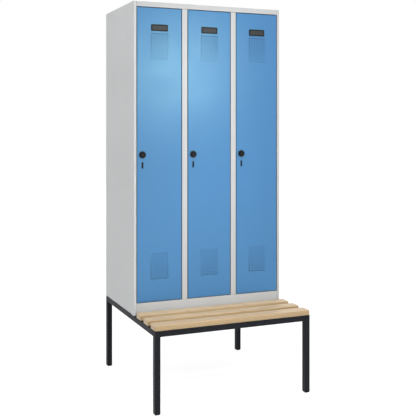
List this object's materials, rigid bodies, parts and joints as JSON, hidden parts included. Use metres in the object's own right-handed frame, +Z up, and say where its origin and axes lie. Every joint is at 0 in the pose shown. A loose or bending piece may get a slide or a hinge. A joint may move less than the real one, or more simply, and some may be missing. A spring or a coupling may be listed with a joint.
{
  "type": "locker with bench",
  "caption": "Changing-room steel locker with perforated blue doors and rotary locks, on a black tube frame whose front carries a slatted wooden bench.",
  "frame": {"origin": "on the floor, at the centre of the footprint of body and bench together", "axes": "+Z up, -Y the front with the doors and the bench, X along the row of doors"},
  "size_m": [0.9, 0.815, 2.12],
  "materials": {
    "body_grey": "powder coat, satin",
    "door_blue": "powder coat, satin",
    "frame_black": "powder coat, satin",
    "bench_wood": "clear-lacquered beech",
    "black_plastic": "moulded, fine texture",
    "label_plastic": "moulded, smooth",
    "nylon": "moulded",
    "buffer_rubber": "moulded",
    "zinc_steel": "bright zinc plated",
    "lock_metal": "satin nickel"
  },
  "bodies": {
    "cabinet": {"side_panel_left": "body_grey", "side_panel_right": "body_grey", "back_panel": "body_grey", "top_panel": "body_grey", "floor_panel": "body_grey", "partition_left": "body_grey", "partition_right": "body_grey", "mullion_left": "body_grey", "mullion_right": "body_grey", "hat_shelf_left": "body_grey", "hat_shelf_middle": "body_grey", "hat_shelf_right": "body_grey", "coat_rail_left": "zinc_steel", "coat_rail_middle": "zinc_steel", "coat_rail_right": "zinc_steel", "rail_brackets": "zinc_steel", "hinge_pins": "zinc_steel", "door_buffers": "buffer_rubber", "leg_front_left": "frame_black", "leg_front_right": "frame_black", "leg_back_left": "frame_black", "leg_back_right": "frame_black", "feet": "black_plastic", "frame_rail_front": "frame_black", "frame_rail_back": "frame_black", "frame_rail_left": "frame_black", "frame_rail_right": "frame_black", "frame_crossbar": "frame_black", "slat_front": "bench_wood", "slat_middle": "bench_wood", "slat_back": "bench_wood", "slat_screws": "zinc_steel", "body_bolts": "zinc_steel"},
    "door_left": {"door_panel_left": "door_blue", "door_stiffener_left": "door_blue", "label_holder_left": "label_plastic", "lock_housing_left": "black_plastic", "slot_plug_left": "black_plastic", "hinge_bushes_left": "nylon"},
    "lock_left": {"lock_barrel_left": "lock_metal", "lock_cam_left": "zinc_steel"},
    "hook_left": {"coat_hook_left": "zinc_steel"},
    "door_middle": {"door_panel_middle": "door_blue", "door_stiffener_middle": "door_blue", "label_holder_middle": "label_plastic", "lock_housing_middle": "black_plastic", "slot_plug_middle": "black_plastic", "hinge_bushes_middle": "nylon"},
    "lock_middle": {"lock_barrel_middle": "lock_metal", "lock_cam_middle": "zinc_steel"},
    "hook_middle": {"coat_hook_middle": "zinc_steel"},
    "door_right": {"door_panel_right": "door_blue", "door_stiffener_right": "door_blue", "label_holder_right": "label_plastic", "lock_housing_right": "black_plastic", "slot_plug_right": "black_plastic", "hinge_bushes_right": "nylon"},
    "lock_right": {"lock_barrel_right": "lock_metal", "lock_cam_right": "zinc_steel"},
    "hook_right": {"coat_hook_right": "zinc_steel"}
  },
  "joints": [
    {"name": "door_left_hinge", "type": "hinge", "parent": "cabinet", "child": "door_left", "pos_m": [-0.18333, -0.0845, 1.28875], "axis": [0, 0, 1], "range_deg": [0, 110]},
    {"name": "lock_left_turn", "type": "hinge", "parent": "door_left", "child": "lock_left", "pos_m": [-0.4, -0.081, 1.288], "axis": [0, 1, 0], "range_deg": [0, 90]},
    {"name": "hook_left_slide", "type": "slide", "parent": "cabinet", "child": "hook_left", "axis": [1, 0, 0], "range_m": [-0.125, 0.125]},
    {"name": "door_middle_hinge", "type": "hinge", "parent": "cabinet", "child": "door_middle", "pos_m": [0.11733, -0.0845, 1.28875], "axis": [0, 0, 1], "range_deg": [0, 110]},
    {"name": "lock_middle_turn", "type": "hinge", "parent": "door_middle", "child": "lock_middle", "pos_m": [-0.09933, -0.081, 1.288], "axis": [0, 1, 0], "range_deg": [0, 90]},
    {"name": "hook_middle_slide", "type": "slide", "parent": "cabinet", "child": "hook_middle", "axis": [1, 0, 0], "range_m": [-0.125, 0.125]},
    {"name": "door_right_hinge", "type": "hinge", "parent": "cabinet", "child": "door_right", "pos_m": [0.418, -0.0845, 1.28875], "axis": [0, 0, 1], "range_deg": [0, 110]},
    {"name": "lock_right_turn", "type": "hinge", "parent": "door_right", "child": "lock_right", "pos_m": [0.20133, -0.081, 1.288], "axis": [0, 1, 0], "range_deg": [0, 90]},
    {"name": "hook_right_slide", "type": "slide", "parent": "cabinet", "child": "hook_right", "axis": [1, 0, 0], "range_m": [-0.125, 0.125]}
  ]
}
